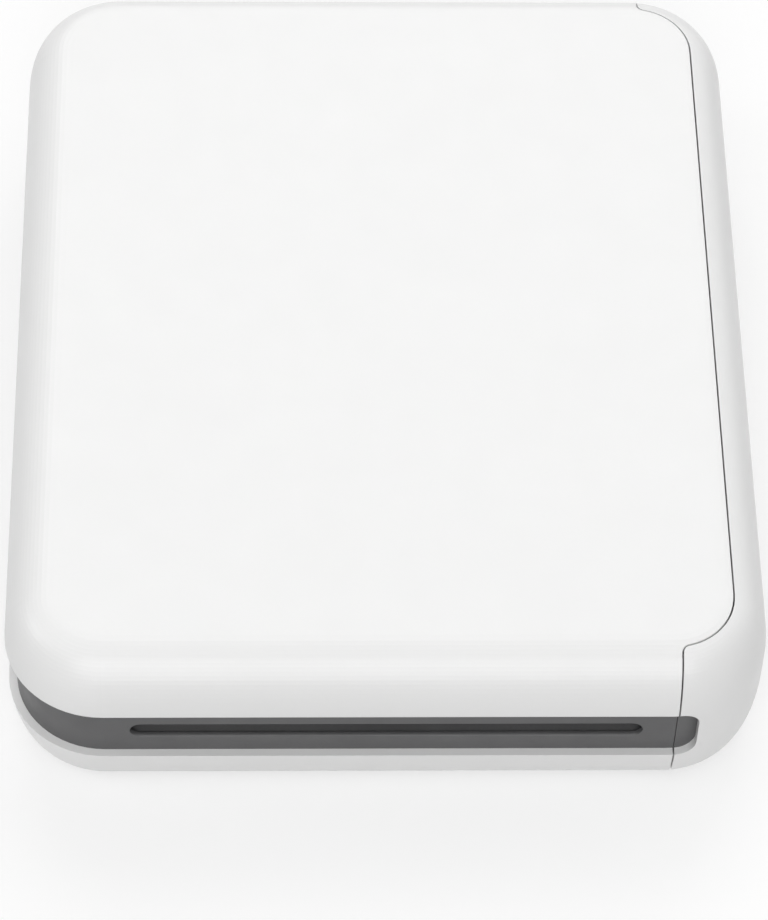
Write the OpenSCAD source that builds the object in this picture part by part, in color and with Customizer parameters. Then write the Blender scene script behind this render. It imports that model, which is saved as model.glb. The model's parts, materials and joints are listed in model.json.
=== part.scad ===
// Compact photo printer, 3 x 3 in prints: case, cartridge door, print engine and drop-in cartridge.
// X runs to the right, Y to the back and Z up. The origin is on the table, below the middle of the case.

/* [Case] */
// Width of the case
body_w = 115; // [110:1:122]
// Depth of the case, front to back
body_l = 138.2; // [128.2:1:150.2]
// Height of the case without its feet
body_h = 29.6; // [26.8:0.4:33.6]
// Radius of the case's upright corners
corner_r = 15.2; // [13.2:0.5:17.2]
// How far the soft top edge reaches in over the top
top_inset = 7.8; // [7:0.2:9]
// How far the soft top edge reaches down the side
top_drop = 13.3; // [11.3:0.5:14.3]
// Fullness of the soft top edge: 2 gives an ellipse, more a squarer edge
top_fullness = 2.5; // [2:0.1:3]
// How far the soft bottom edge reaches in under the case
bottom_inset = 3.15; // [2.85:0.1:3.95]
// How far the soft bottom edge reaches up the side
bottom_rise = 12.4; // [11.4:0.5:13.4]
// Wall of the case
wall = 2; // [1.6:0.1:2.4]
// Height that the feet stand out below the case
foot_h = 0.6; // [0.4:0.1:1.2]
// Diameter of a foot
foot_d = 8; // [6:0.5:10]
// Distance from a foot's middle to the case's sides
foot_in = 13.5; // [12:0.5:16]
// Width of a hook that holds the top cover down
hook_w = 8; // [6:0.5:10]

/* [Trim band] */
// Height of the band's lower edge above the case's underside
band_low = 8.1; // [7.6:0.1:8.6]
// Height of the band that shows
band_h = 11; // [10:0.25:12]
// How far the band is set back from the case
band_setback = 1.45; // [1.2:0.05:1.6]
// Thickness of the band
band_t = 1.75; // [1.5:0.05:2]
// Height of the paper slot's middle above the case's underside
slot_up = 13.3; // [13:0.1:13.6]
// Height of the paper slot
slot_h = 3.5; // [3:0.1:3.8]
// Play of the paper in the slot's length
slot_play = 0.8; // [0.6:0.1:2]

/* [Door] */
// Distance from the case's side to the door's front and rear edge
door_depth = 14; // [13:0.25:14.5]
// How far the door reaches in over the top and the base
door_inset = 5.8; // [5:0.2:6.6]
// Rounding of the parting line where it turns down the front and the rear
door_round = 1.2; // [0.6:0.1:1.6]
// Gap between the door and the case
door_gap = 0.25; // [0.2:0.05:0.4]
// Width of the door's notch for the band
notch_w = 3.2; // [2.8:0.2:4]
// Radius of the notch's corners
notch_r = 2.8; // [1.5:0.1:2.8]
// Diameter of a door hinge pin
hinge_pin_d = 1.2; // [1:0.1:1.4]
// Width of a hinge lug on the case
lug_w = 5; // [4:0.5:8]
// Distance from the middle to a hinge lug
lug_y = 42; // [36:1:44]

/* [Print engine] */
// Distance from the case's front to the feed rollers
feed_back = 11.6; // [11.4:0.1:12.4]
// Half the room between the ribbon housings, for the print head
head_room = 7; // [6.5:0.1:7.5]
// Distance from the supply spool back to the pick-up roller
pickup_back = 13.5; // [13:0.25:15]
// Distance from the pick-up roller back to the motor
motor_back = 10; // [9.5:0.25:12]
// Distance from the case's side to the engine's left frame
gear_room = 10.9; // [10.6:0.1:11.4]
// Room behind the cartridge for the port board
rear_room = 12.1; // [12:0.1:14]
// Room beside the paper, up to the door's edge
paper_room = 5.4; // [5:0.1:6]
// Thickness of the frame's side plates
frame_t = 1.2; // [1:0.1:1.4]
// Diameter of the feed rollers at the slot
feed_d = 5; // [4.4:0.2:5.4]
// Diameter of the platen roller
platen_d = 8.4; // [7.6:0.2:8.6]
// Diameter of the pick-up roller
pickup_d = 11.5; // [11:0.25:12]
// Diameter of the roller shafts
shaft_d = 2; // [1.6:0.1:2.4]
// Running clearance of a shaft in its bearing, all round
fit = 0.05; // [0.03:0.01:0.08]

/* [Cartridge] */
// Thickness of the paper stack
stack_h = 2.2; // [1.2:0.2:2.6]
// Radius of a ribbon spool's housing
housing_r = 4.5; // [4.4:0.05:4.7]
// Wall of the cartridge
cart_wall = 0.9; // [0.7:0.1:1]

/* [Gears] */
// Module of the gears
gear_m = 0.5; // [0.5:0.01:0.52]
// Width of the gears
gear_w = 2.4; // [2:0.1:2.6]
// Play between meshed teeth
backlash = 0.12; // [0.08:0.01:0.16]

/* [Electronics] */
// Diameter of the drive motor
motor_d = 12; // [11:0.25:12.5]
// Length of the drive motor
motor_l = 20; // [16:1:24]
// Thickness of the circuit boards
board_t = 1; // [0.8:0.1:1.6]
// Width of the battery
battery_w = 56; // [44:2:60]
// Depth of the battery
battery_l = 34; // [28:1:36]
// Thickness of the battery
battery_h = 9; // [8:0.5:9.5]
// Diameter of the power button
button_d = 6; // [5:0.25:7]
// Travel of the power button
button_travel = 0.5; // [0.3:0.05:0.6]

/* [Hidden] */
$fn = 48;

WHITE = "whitesmoke";
LIGHT_GREY = "gainsboro";
DARK = "dimgray";
BLACK = "#2b2c2e";
STEEL = "silver";
ZINC = "darkgray";
RUBBER = "#202122";
GEAR_PLASTIC = "ivory";

EPS = 0.01;
BIG = 400;
// Clearance between pieces that move past each other
play = 0.3;

z_under = foot_h;
z_top = foot_h + body_h;
cavity_low = z_under + wall;
cavity_top = z_top - wall;
// Facets of a soft edge
edge_steps = 20;

band_z0 = z_under + band_low;
band_z1 = band_z0 + band_h;
band_back = band_setback + band_t;
// The band's hidden tongues hold it behind the walls of both case halves
tongue = 1.5;
tongue_inset = wall + 0.35;
// The slot opens through a thin skin of the band into the exit guide
slot_z = z_under + slot_up;
slot_skin = 0.7;

door_start = body_w / 2 - door_depth;
hinge_x = body_w / 2 - 2.9;
hinge_z = z_under + 2.6;
knuckle_r = hinge_pin_d / 2 + 1;
knuckle_w = 4;
// The door's lower lip ends short of the case's floor, which is cut back for its swing
lip_inset = door_inset - 0.6;
floor_inset = door_inset + 0.5;
lip_sweep = 3.8;

// Layout of the print engine, from the roller pair at the slot to the rear
engine_x0 = -body_w / 2 + gear_room;
engine_x1 = door_start - play;
inner_x0 = engine_x0 + frame_t;
inner_x1 = engine_x1 - frame_t;
gear_x1 = engine_x0 - 1.2;
gear_x0 = gear_x1 - gear_w;
paper_w = 2 * (door_start - paper_room);
slot_w = paper_w + slot_play;
feed_y = -body_l / 2 + feed_back;
nip = 0.1;
feed_top_z = slot_z + feed_d / 2 + nip / 2;
feed_low_z = slot_z - feed_d / 2 - nip / 2;
takeup_y = feed_y + feed_d / 2 + housing_r + 1.5;
head_y = takeup_y + housing_r + head_room;
supply_y = head_y + head_room + housing_r;
spool_z = slot_z + 1 + housing_r;
platen_drop = 1.5;
platen_rest_z = slot_z - platen_drop - platen_d / 2;
arm_pivot_y = head_y + 10;
arm_pivot_z = platen_rest_z - 1.8;
tray_y0 = supply_y - 3;
tray_y1 = body_l / 2 - rear_room;
tray_z0 = slot_z - 4.9;
tray_top = slot_z - 1.1;
cart_x0 = engine_x0 + 4.6;
cart_x1 = door_start + 2.5;
paper_l = tray_y1 - tray_y0 - 2 * cart_wall;
pickup_y = supply_y + pickup_back;
pickup_z = tray_top + play + pickup_d / 2;
motor_y = pickup_y + motor_back;
motor_z = tray_top + play + motor_d / 2;
deck_t = 0.8;
deck_z = tray_z0 - deck_t;
deck_y1 = tray_y1 + 2.5;
battery_deck_z = slot_z + 0.6;
tongue_spots = [pickup_y + 9, tray_y1 - 25.5];

// Teeth of the gears, from the slot to the motor
capstan_n = 18;
takeup_n = 13;
front_n = 24;
middle_n = 32;
rear_n = 26;
pickup_n = 20;
motor_idler_n = 22;
pinion_n = 12;
function pitch_r(n) = gear_m * n / 2;
// Centre of a gear at distances ra and rb from a and b, on the lower side
function meshed_at(a, ra, b, rb) =
  let (d = norm(b - a), u = (b - a) / d, t = (ra * ra - rb * rb + d * d) / (2 * d), h = sqrt(ra * ra - t * t))
  a + t * u + h * [u[1], -u[0]];
function bearing(a, b) = atan2(b[1] - a[1], b[0] - a[0]);
// Turn of gear b that sets its teeth into the gaps of gear a, itself turned by phase_a
function meshed_phase(a, na, phase_a, b, nb) =
  let (t = bearing(a, b)) t + 180 - (phase_a - t) * na / nb + 180 / nb;

capstan_at = [feed_y, feed_top_z];
pinch_at = [feed_y, feed_low_z];
takeup_at = [takeup_y, spool_z];
pickup_at = [pickup_y, pickup_z];
motor_at = [motor_y, motor_z];
front_at = meshed_at(capstan_at, pitch_r(capstan_n + front_n), takeup_at, pitch_r(takeup_n + front_n));
// Rise of the middle idler from the front one
middle_rise = 12;
middle_at = front_at + pitch_r(front_n + middle_n) * [cos(middle_rise), sin(middle_rise)];
rear_at = meshed_at(middle_at, pitch_r(middle_n + rear_n), pickup_at, pitch_r(pickup_n + rear_n));
motor_idler_at = meshed_at(pickup_at, pitch_r(pickup_n + motor_idler_n), motor_at,
                           pitch_r(pinion_n + motor_idler_n));
front_phase = meshed_phase(capstan_at, capstan_n, 0, front_at, front_n);
takeup_phase = meshed_phase(front_at, front_n, front_phase, takeup_at, takeup_n);
middle_phase = meshed_phase(front_at, front_n, front_phase, middle_at, middle_n);
rear_phase = meshed_phase(middle_at, middle_n, middle_phase, rear_at, rear_n);
pickup_phase = meshed_phase(rear_at, rear_n, rear_phase, pickup_at, pickup_n);
motor_idler_phase = meshed_phase(pickup_at, pickup_n, pickup_phase, motor_idler_at, motor_idler_n);
pinion_phase = meshed_phase(motor_idler_at, motor_idler_n, motor_idler_phase, motor_at, pinion_n);

// ---- Shared shapes ----

// Points of an arc about c from angle a0 to a1: an ellipse for power 2, fuller above
function arc(c, ax, az, a0, a1, power = 2) = [
  for (i = [0 : edge_steps]) let (a = a0 + (a1 - a0) * i / edge_steps, x = cos(a), z = sin(a))
    [c[0] + ax * sign(x) * pow(abs(x), 2 / power), c[1] + az * sign(z) * pow(abs(z), 2 / power)]
];

// Outer half section of the case from a line x0 inside the side face, drawn d inside the surface
function case_section(x0, d) = concat(
  [[0, z_under + d]],
  arc([x0 - bottom_inset, z_under + bottom_rise], bottom_inset - d, bottom_rise - d, -90, 0),
  arc([x0 - top_inset, z_top - top_drop], top_inset - d, top_drop - d, 0, 90, top_fullness),
  [[0, z_top - d]]);

// Rounded rectangle with true arcs
module round_rect(w, l, r) {
  square([w - 2 * r, l], center = true);
  square([w, l - 2 * r], center = true);
  for (x = [-1, 1], y = [-1, 1]) translate([x * (w / 2 - r), y * (l / 2 - r)]) circle(r);
}

// Plan outline of the case, d inside its widest line
module case_outline(d) round_rect(body_w - 2 * d, body_l - 2 * d, corner_r - d);

// Solid body of the case, drawn d inside its surface
module case_solid(d) {
  half_w = body_w / 2 - corner_r;
  half_l = body_l / 2 - corner_r;
  for (x = [0, 1], y = [0, 1]) mirror([x, 0, 0]) mirror([0, y, 0]) translate([half_w, half_l, 0])
    rotate_extrude(angle = 90) polygon(case_section(corner_r, d));
  for (x = [0, 1]) mirror([x, 0, 0]) rotate([90, 0, 0])
    linear_extrude(2 * half_l, center = true) polygon(case_section(body_w / 2, d));
  for (y = [0, 1]) mirror([0, y, 0]) rotate([90, 0, 90])
    linear_extrude(2 * half_w, center = true) polygon(case_section(body_l / 2, d));
}

module case_shell() {
  difference() {
    case_solid(0);
    case_solid(wall);
  }
}

// Everything on the door's side of its parting line, kept g away from it
module door_zone(g) {
  // Centre of the rounding, which touches both runs of the parting line
  arc_x = body_w / 2 - corner_r;
  arc_y = body_l / 2 - corner_r;
  arc_r = corner_r - door_inset;
  round_x = door_start + door_round;
  lean = max(0, round_x - arc_x);
  round_y = arc_y + sqrt(pow(arc_r + door_round, 2) - pow(lean, 2));
  // Where the rounding meets the run along the side
  meet_x = round_x - lean * (door_round - g) / (arc_r + door_round);
  translate([0, 0, -BIG / 2]) linear_extrude(BIG) difference() {
    translate([door_start + g, -BIG / 2]) square(BIG);
    case_outline(door_inset - g);
    for (y = [0, 1]) mirror([0, y]) difference() {
      translate([door_start - 1, arc_y]) square([meet_x - door_start + 1, round_y - arc_y]);
      translate([round_x, round_y]) circle(door_round - g);
    }
  }
}

// Cylinder along X from x0 to x1 at a place [y, z]
module x_rod(x0, x1, at, d) {
  translate([x0, at[0], at[1]]) rotate([0, 90, 0]) cylinder(d = d, h = x1 - x0);
}

// Extrudes a [y, z] profile along X
module x_plate(x0, x1) {
  translate([x0, 0, 0]) rotate([90, 0, 90]) linear_extrude(x1 - x0) children();
}

// Cylinder along Y from y0 to y1 at a place [x, z]
module y_rod(y0, y1, at, d) {
  translate([at[0], y1, at[1]]) rotate([90, 0, 0]) cylinder(d = d, h = y1 - y0);
}

module box(x, y, z) {
  translate([x[0], y[0], z[0]]) cube([x[1] - x[0], y[1] - y[0], z[1] - z[0]]);
}

// Stadium outline with round ends, centred
module stadium(w, h) {
  square([w - h, h], center = true);
  for (x = [-1, 1]) translate([x * (w - h) / 2, 0]) circle(d = h);
}

// ---- Case ----

// Wall that follows the case's plan, from inset d0 to d1 and from height z0 to z1
module ring_wall(d0, d1, z0, z1) {
  translate([0, 0, z0]) linear_extrude(z1 - z0) difference() {
    case_outline(d0);
    case_outline(d1);
  }
}

// Main board on the case's floor
board_z = cavity_low + 1.8;
board_x0 = inner_x0 + 5.4;
board_x1 = inner_x1 - 4;
board_y0 = arm_pivot_y + 5;
board_y1 = tray_y1 - 2;
battery_z = battery_deck_z + 0.6;
battery_y1 = tray_y1 - 3;
battery_y0 = battery_y1 - battery_l;

// Screw posts of the bottom case: [x, y] places and the height of what they carry
stay_z = platen_rest_z - platen_d / 2 + 3.4;
screw_x = door_start - 9.5;
front_screw_y = feed_y + 5;
rear_screw_y = deck_y1 + 3;
screw_spots = [[-screw_x, front_screw_y, stay_z], [screw_x, front_screw_y, stay_z],
               [-screw_x, rear_screw_y, deck_z], [screw_x, rear_screw_y, deck_z]];
screw_d = 2;
screw_head_d = 3.8;
screw_head_h = 1.4;
post_d = 6;
foot_x = body_w / 2 - foot_in;
foot_y = body_l / 2 - foot_in;
foot_seat = 0.5;
standoff_spots = [for (x = [board_x0 + 3, board_x1 - 3], y = [board_y0 + 3, board_y1 - 3]) [x, y]];

// Places of the rear ports, measured from the case's left side
reset_x = -body_w / 2 + 17.5;
usb_x = reset_x + 12;
button_x = usb_x + 20;
lens_x = button_x + 8;
button_z = slot_z + 0.7;
usb_w = 9;
usb_h = 3.2;
usb_l = 7.4;
port_z = slot_z - 3.2;
lens_d = 2;
reset_d = 1;

// Hooks of the top cover, which reach down inside the band and catch under rails of the bottom case
hook_t = 1;
hook_inset = wall + 2;
rail_top = band_z0 - tongue - play;
rail_h = 1.2;
hook_low = rail_top - rail_h - 1.4;
left_hooks = [-30, 0, 30];
rear_hook_x = (lens_x + screw_x) / 2;

// Lower end of the locating tabs, above the exit guide
tab_z = slot_z + 4.1;

// Puts children, drawn from the middle of a side's widest line with X inwards, at the hooks' places
module at_hooks() {
  for (y = left_hooks) translate([-body_w / 2, y, 0]) children();
  translate([rear_hook_x, body_l / 2, 0]) rotate([0, 0, -90]) children();
}

module top_cover() {
  rib_t = 1;
  rib_z = [cavity_top - 0.8, cavity_top + EPS];
  rib_x = 24;
  rib_y0 = battery_y0 - 4;
  tab_y = -body_l / 2 + band_back + 0.1;
  color(WHITE) {
    difference() {
      case_shell();
      box([-BIG, BIG], [-BIG, BIG], [-BIG, band_z1]);
      door_zone(-door_gap / 2);
    }
    intersection() {
      union() {
        at_hooks() {
          box([hook_inset, hook_inset + hook_t], [-hook_w / 2, hook_w / 2], [hook_low, z_top]);
          // Nose of the hook
          box([hook_inset - 0.9, hook_inset + EPS], [-hook_w / 2, hook_w / 2],
              [hook_low, rail_top - rail_h - 0.1]);
        }
        // Locating tabs behind the band at the front
        for (x = [-30, 30]) box([x - hook_w / 2, x + hook_w / 2], [tab_y, tab_y + hook_t], [tab_z, z_top]);
      }
      case_solid(wall / 2);
    }
    // Stiffening ribs under the flat top
    for (x = [-rib_x, rib_x]) box([x - rib_t / 2, x + rib_t / 2], [rib_y0, body_l / 2 - top_inset], rib_z);
    box([-rib_x, rib_x], [rib_y0, rib_y0 + rib_t], rib_z);
  }
}

lug_x0 = engine_x1 + play;
module hinge_lug(y) {
  difference() {
    union() {
      y_rod(y - lug_w / 2, y + lug_w / 2, [hinge_x, hinge_z], 2 * knuckle_r);
      box([lug_x0, hinge_x], [y - lug_w / 2, y + lug_w / 2], [cavity_low - EPS, hinge_z + knuckle_r]);
      box([lug_x0, hinge_x], [y - lug_w / 2, y + lug_w / 2], [z_under + 0.2, hinge_z]);
    }
    y_rod(y - lug_w, y + lug_w, [hinge_x, hinge_z], hinge_pin_d + 2 * fit);
  }
}

module at_feet() {
  for (x = [-foot_x, foot_x], y = [-foot_y, foot_y]) translate([x, y, 0]) children();
}

// Post on the case's floor up to a height
module post(at, d, z1) {
  translate([at[0], at[1], cavity_low - EPS]) cylinder(d = d, h = z1 - cavity_low + EPS);
}

module bottom_case() {
  color(WHITE) difference() {
    union() {
      difference() {
        case_shell();
        box([-BIG, BIG], [-BIG, BIG], [band_z0, BIG]);
        door_zone(-door_gap / 2);
        y_rod(-BIG, BIG, [hinge_x, hinge_z], 2 * lip_sweep);
        difference() {
          box([door_start + door_gap, BIG], [-BIG, BIG], [-BIG, band_z0]);
          translate([0, 0, -BIG / 2]) linear_extrude(BIG) case_outline(floor_inset);
        }
      }
      for (s = screw_spots) post(s, post_d, s[2]);
      for (s = [-1, 1]) hinge_lug(s * lug_y);
      for (s = standoff_spots) post(s, 4, board_z);
      // Rails that the top cover's hooks catch under
      intersection() {
        at_hooks()
          box([wall / 2, hook_inset - 0.1], [-hook_w / 2 - 1, hook_w / 2 + 1], [rail_top - rail_h, rail_top]);
        case_solid(wall / 2);
      }
    }
    for (s = screw_spots) translate([s[0], s[1], 0]) {
      cylinder(d = screw_d + play, h = BIG);
      translate([0, 0, -EPS]) cylinder(d = screw_head_d + play, h = z_under + screw_head_h + EPS);
    }
    // Shallow seats for the feet
    at_feet() cylinder(d = foot_d, h = z_under + foot_seat);
  }
}

module slot_cut(h, l, y) {
  translate([0, y, slot_z]) rotate([90, 0, 0]) linear_extrude(l) stadium(slot_w + h - slot_h, h);
}

// The holes of the band's rear wall: power button, status lens, USB inlet and reset pin
module rear_holes(clearance) {
  y_rod(0, BIG, [button_x, button_z], button_d + 2 * clearance);
  y_rod(0, BIG, [lens_x, button_z], lens_d);
  y_rod(0, BIG, [reset_x, port_z + 2], reset_d);
  translate([usb_x, BIG, port_z + usb_h / 2]) rotate([90, 0, 0]) linear_extrude(BIG)
    stadium(usb_w + 0.2, usb_h + 0.2);
}

module trim_band() {
  color(DARK) difference() {
    union() {
      ring_wall(band_setback, band_back, band_z0, band_z1);
      intersection() {
        ring_wall(tongue_inset, band_back, band_z0 - tongue, band_z1 + tongue);
        case_solid(wall + 0.1);
        box([-BIG, door_start - 0.5], [-BIG, BIG], [-BIG, BIG]);
      }
    }
    box([door_start - 0.05, BIG], [-BIG, BIG], [-BIG, BIG]);
    slot_cut(slot_h, BIG, 0);
    // Pocket behind the slot that takes the exit guide
    box([-guide_w / 2, guide_w / 2], [guide_y0, 0], [slot_z - guide_h / 2, slot_z + guide_h / 2]);
    rear_holes(play);
  }
}

// Notch in the door's front and rear cheek that lets the band run on
module notch_profile() {
  half_h = band_h / 2;
  translate([door_start, band_z0 + half_h]) {
    for (s = [-1, 1]) translate([notch_w - notch_r, s * (half_h - notch_r)]) circle(notch_r);
    translate([-1, -half_h]) square([1 + notch_w - notch_r, band_h]);
    translate([-1, -half_h + notch_r]) square([1 + notch_w, band_h - 2 * notch_r]);
  }
}

module notch_cut(y0, y1) {
  translate([0, y1, 0]) rotate([90, 0, 0]) linear_extrude(y1 - y0) notch_profile();
}

module cartridge_door() {
  reach = hinge_x - door_start - door_gap / 2;
  knuckle_at = lug_w / 2 + play + knuckle_w / 2;
  rib_x = body_w / 2 - wall - 1.2;
  color(WHITE) difference() {
    union() {
      intersection() {
        case_shell();
        door_zone(door_gap / 2);
      }
      intersection() {
        union() {
          // Knuckles beside each lug of the case
          for (y = [-lug_y, lug_y], t = [-knuckle_at, knuckle_at]) translate([0, y + t, 0]) {
            y_rod(-knuckle_w / 2, knuckle_w / 2, [hinge_x, hinge_z], 2 * knuckle_r);
            box([hinge_x, BIG / 2], [-knuckle_w / 2, knuckle_w / 2], [z_under, hinge_z + knuckle_r]);
          }
          // Ribs that stiffen the flank
          for (y = [-24, -8, 8, 24])
            box([rib_x, rib_x + 2.2], [y - 0.5, y + 0.5], [cavity_low + 3, cavity_top - 8]);
        }
        case_solid(wall / 2);
      }
      for (y = tongue_spots) door_tongue(y);
    }
    for (y = [-lug_y, lug_y]) {
      box([0, BIG], [y - lug_w / 2 - play, y + lug_w / 2 + play], [-BIG, hinge_z + knuckle_r + play]);
      y_rod(y - lug_w / 2 - 2 * knuckle_w, y + lug_w / 2 + 2 * knuckle_w, [hinge_x, hinge_z], hinge_pin_d);
    }
    notch_cut(-BIG, BIG);
    translate([0, 0, -1]) linear_extrude(1 + cavity_low) case_outline(lip_inset);
    // The cheeks' lower corners are rounded about the hinge so that they clear the case
    difference() {
      box([0, hinge_x - lip_sweep], [-BIG, BIG], [-BIG, hinge_z]);
      y_rod(-BIG, BIG, [hinge_x, hinge_z], 2 * reach);
    }
  }
}

tongue_w = 6;
tongue_z = slot_z + 5.4;
// Snap tongue on the door that enters a window of the right frame
module door_tongue(y) {
  box([inner_x1 + 0.7, body_w / 2 - wall / 2], [y - tongue_w / 2, y + tongue_w / 2],
      [tongue_z, tongue_z + 1.2]);
}

module door_trim() {
  color(DARK) for (y = [0, 1]) mirror([0, y, 0]) intersection() {
    difference() {
      ring_wall(band_setback, band_back, 0, BIG);
      box([-BIG, door_start + 0.05], [-BIG, BIG], [-BIG, BIG]);
      box([-BIG, BIG], [-body_l / 4, BIG], [-BIG, BIG]);
    }
    union() {
      notch_cut(-BIG, BIG);
      translate([0, 0, band_z0 - 1]) linear_extrude(band_h + 2) intersection() {
        case_outline(tongue_inset);
        translate([door_start, -BIG / 2]) square([notch_w + 2, BIG]);
      }
    }
  }
}

module door_hinge_pins() {
  half = lug_w / 2 + play + knuckle_w;
  color(STEEL) for (s = [-1, 1]) y_rod(s * lug_y - half, s * lug_y + half, [hinge_x, hinge_z], hinge_pin_d);
}

module rubber_feet() {
  color(RUBBER) at_feet() cylinder(d = foot_d, h = z_under + foot_seat);
}

module case_screws() {
  color(STEEL) for (s = screw_spots) translate([s[0], s[1], z_under]) {
    cylinder(d = screw_d, h = s[2] + deck_t - z_under);
    difference() {
      cylinder(d = screw_head_d, h = screw_head_h);
      translate([0, 0, -EPS]) cylinder(d = 1.8, h = 0.8, $fn = 6);
    }
  }
}

// ---- Power button, USB inlet and status light on the rear band ----

band_face_y = body_l / 2 - band_setback;
port_board_y0 = deck_y1 + 0.8;
port_board_y1 = body_l / 2 - band_back - 2 * play;
button_flange_y = port_board_y1 - 0.6;
switch_y1 = button_flange_y - button_travel - 0.5;

module port_board() {
  color("seagreen")
    box([reset_x - 3, lens_x + 3], [port_board_y0, port_board_y1], [port_z - board_t, port_z]);
  color(BLACK) {
    box([button_x - 3, button_x + 3], [port_board_y0, switch_y1 - 0.6], [port_z, button_z + 2.5]);
    y_rod(switch_y1 - 0.6 - EPS, switch_y1, [button_x, button_z], 2.4);
    box([lens_x - 1.2, lens_x + 1.2], [port_board_y0 + 1, port_board_y1 - 0.5], [port_z, button_z + 1.2]);
  }
}

module usb_port() {
  color(STEEL) translate([usb_x, band_face_y - 0.3, port_z + usb_h / 2]) rotate([90, 0, 0]) difference() {
    linear_extrude(usb_l) stadium(usb_w, usb_h);
    translate([0, 0, -EPS]) linear_extrude(usb_l - 1) difference() {
      stadium(usb_w - 0.6, usb_h - 0.6);
      square([usb_w - 2.6, 0.7], center = true);
    }
  }
}

module power_button() {
  color(LIGHT_GREY) {
    y_rod(button_flange_y, button_flange_y + 1, [button_x, button_z], button_d + 1.2);
    difference() {
      y_rod(button_flange_y, band_face_y + 0.4, [button_x, button_z], button_d);
      // Finger dish
      translate([button_x, band_face_y + 0.4 + 11.7, button_z]) sphere(r = 12, $fn = 64);
    }
  }
}

module status_lens() {
  color("white") y_rod(port_board_y1 - 0.5, band_face_y + 0.1, [lens_x, button_z], lens_d);
}

// ---- Frames of the print engine ----

arm_pivot = [arm_pivot_y, arm_pivot_z];
platen_at = [head_y, platen_rest_z];
frame_y0 = feed_y - 4.5;
frame_y1 = deck_y1;
frame_top = cavity_top - play;
link_z0 = slot_z - 1.1;
link_z1 = slot_z + 0.7;
latch_at = [tray_y1 - 13, slot_z + 2.4];

// The cartridge seen from its end, g larger all round
module cartridge_profile(g) {
  for (y = [takeup_y, supply_y]) {
    translate([y, spool_z]) circle(housing_r + g);
    translate([y - 3 - g, link_z0 - g]) square([6 + 2 * g, spool_z - link_z0]);
  }
  translate([takeup_y - 3 - g, link_z0 - g])
    square([supply_y - takeup_y + 6 + 2 * g, link_z1 - link_z0 + 2 * g]);
  translate([tray_y0 - g, tray_z0 - g]) square([tray_y1 - tray_y0 + 2 * g, tray_top - tray_z0 + 2 * g]);
}

module frame_profile() {
  difference() {
    polygon([[frame_y0, cavity_low], [frame_y1, cavity_low], [frame_y1, frame_top - 8],
             [frame_y1 - 6, frame_top], [frame_y0 + 4, frame_top], [frame_y0, frame_top - 5.7]]);
    for (at = [capstan_at, pinch_at, pickup_at, arm_pivot]) translate(at) circle(d = shaft_d + 2 * fit);
    // Lightening holes
    for (y = [motor_y + 13, motor_y + 22]) translate([y, slot_z + 7]) circle(d = 7);
  }
}

drive_d = 3;
motor_boss_d = 3.2;
module left_frame() {
  color(ZINC) x_plate(engine_x0, engine_x0 + frame_t) difference() {
    frame_profile();
    translate(takeup_at) circle(d = drive_d + 2 * fit);
    for (at = [front_at, middle_at, rear_at, motor_idler_at]) translate(at) circle(d = shaft_d);
    translate(motor_at) circle(d = motor_boss_d);
    // Window for the rear wiring
    translate([tray_y1 - 34, cavity_low + 1.9]) square([24, 3]);
  }
}

module right_frame() {
  color(ZINC) {
    x_plate(engine_x1 - frame_t, engine_x1) difference() {
      frame_profile();
      cartridge_profile(0.4);
      // Windows for the door's snap tongues
      for (y = tongue_spots) translate([y - tongue_w / 2 - 1, tongue_z - 0.8]) square([tongue_w + 2, 3.4]);
    }
    // Pivot of the cartridge latch
    x_rod(engine_x1 - EPS, engine_x1 + 4.6, latch_at, shaft_d);
  }
}

module cartridge_deck() {
  color(ZINC) difference() {
    box([inner_x0, inner_x1], [tray_y0 + 3, rear_screw_y + 2.4], [deck_z, deck_z + deck_t]);
    for (s = screw_spots) translate([s[0], s[1], 0]) cylinder(d = screw_d, h = BIG);
    for (x = [-24, 0, 24], y = [tray_y0 + 26, tray_y1 - 28]) translate([x, y, 0]) cylinder(d = 16, h = BIG);
    at_hooks() box([0, hook_inset + hook_t + play], [-hook_w / 2 - play, hook_w / 2 + play], [0, BIG]);
    // Ways for the battery's lead and the head's flat cable
    box([lead_x - 3, lead_x + 3], [tray_y1 + 0.4, tray_y1 + 3.6], [0, BIG]);
    box([-BIG, cable_x + 1], [cable_y - 0.5, cable_y + cable_w + 0.5], [0, BIG]);
  }
}

module battery_deck() {
  color(ZINC) box([inner_x0, inner_x1], [battery_y0 - 2, tray_y1], [battery_deck_z, battery_z]);
}

module front_stay() {
  color(ZINC) difference() {
    box([inner_x0, inner_x1], [front_screw_y - 3, front_screw_y + 3], [stay_z, stay_z + deck_t]);
    for (s = screw_spots) translate([s[0], s[1], 0]) cylinder(d = screw_d, h = BIG);
  }
}

bridge_half = head_room - 2 * play;
module head_bridge() {
  color(ZINC) x_plate(inner_x0, inner_x1) translate([head_y, 0]) difference() {
    translate([-bridge_half, frame_top - 3.4]) square([2 * bridge_half, 3.4]);
    translate([-bridge_half + 0.7, frame_top - 4]) square([2 * bridge_half - 1.4, 3.2]);
  }
}

guide_w = slot_w + 4;
guide_h = 6.6;
guide_end = 1.2;
guide_y0 = -body_l / 2 + band_setback + slot_skin;
guide_y1 = feed_y - feed_d / 2 - 2 * play;
module exit_guide() {
  color(BLACK) {
    for (s = [-1, 1]) x_plate(-guide_w / 2, guide_w / 2) translate([0, slot_z])
      polygon([[guide_y0, s * guide_h / 2], [guide_y0, s * slot_h / 2], [guide_y1, s * 0.6],
               [guide_y1, s * guide_h / 2]]);
    for (s = [0, 1]) mirror([s, 0, 0])
      box([guide_w / 2 - guide_end, guide_w / 2], [guide_y0, guide_y1],
          [slot_z - guide_h / 2, slot_z + guide_h / 2]);
  }
}

// ---- Thermal head ----

head_z = slot_z + 1.1;
head_w = paper_w + 3.8;
head_bar_h = 2.2;
sink_half = bridge_half - 0.9;
sink_top = frame_top - 0.8;

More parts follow.
